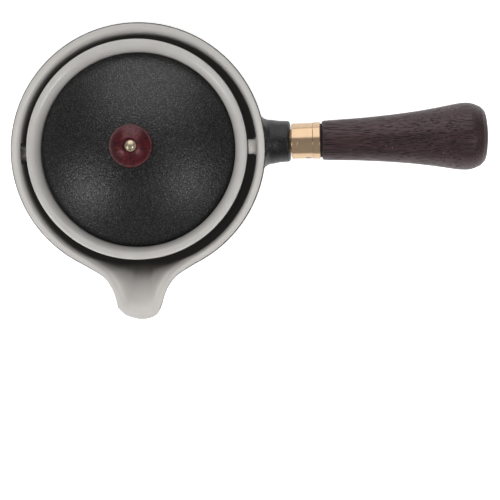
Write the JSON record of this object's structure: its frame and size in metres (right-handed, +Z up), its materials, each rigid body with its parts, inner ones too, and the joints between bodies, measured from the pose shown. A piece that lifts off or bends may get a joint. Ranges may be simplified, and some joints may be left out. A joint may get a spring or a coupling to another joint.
{
  "type": "side-handled filter kettle",
  "caption": "Ceramic filter kettle: a lidded ball-shaped brewing bowl with a strainer turns on side pins inside a spouted outer bowl with a turned wooden side handle.",
  "frame": {"origin": "centre of the flat foot, on the table", "axes": "+Z up, +X along the turning pins towards the handle, -Y towards the spout"},
  "size_m": [0.2353, 0.1461, 0.101],
  "materials": {
    "sand_glaze": "matt grainy black glaze, cream glaze on rim, pins and spout",
    "black_glaze": "satin black glaze, cream glaze on rim, bare foot ring",
    "lid_glaze": "matt fine-grained black glaze",
    "rosewood": "glossy lacquered red-brown wood",
    "dark_wood": "oiled dark wood with long fine grain",
    "brass": "satin brass",
    "pale_brass": "polished pale brass",
    "steel": "bright steel",
    "silicone": "pale silicone rubber",
    "dark_rubber": "dark rubber"
  },
  "bodies": {
    "kettle": {"outer_bowl": "sand_glaze", "ferrule_sleeve": "brass", "ferrule_collar": "brass", "ferrule_screw": "steel", "handle_gasket": "dark_rubber", "handle_grip": "dark_wood", "handle_rod": "steel"},
    "brewing_bowl": {"inner_bowl": "black_glaze", "strainer": "steel"},
    "lid_unit": {"lid": "lid_glaze", "lid_seal": "silicone", "lid_knob": "rosewood", "knob_bolt": "pale_brass", "knob_washer": "silicone", "knob_nut": "steel"}
  },
  "joints": [
    {"name": "inner_bowl_turn", "type": "hinge", "parent": "kettle", "child": "brewing_bowl", "pos_m": [0, 0, 0.064], "axis": [1, 0, 0], "continuous": true},
    {"name": "lid_lift", "type": "slide", "parent": "brewing_bowl", "child": "lid_unit", "axis": [0, 0, 1], "range_m": [0, 0.019]}
  ]
}
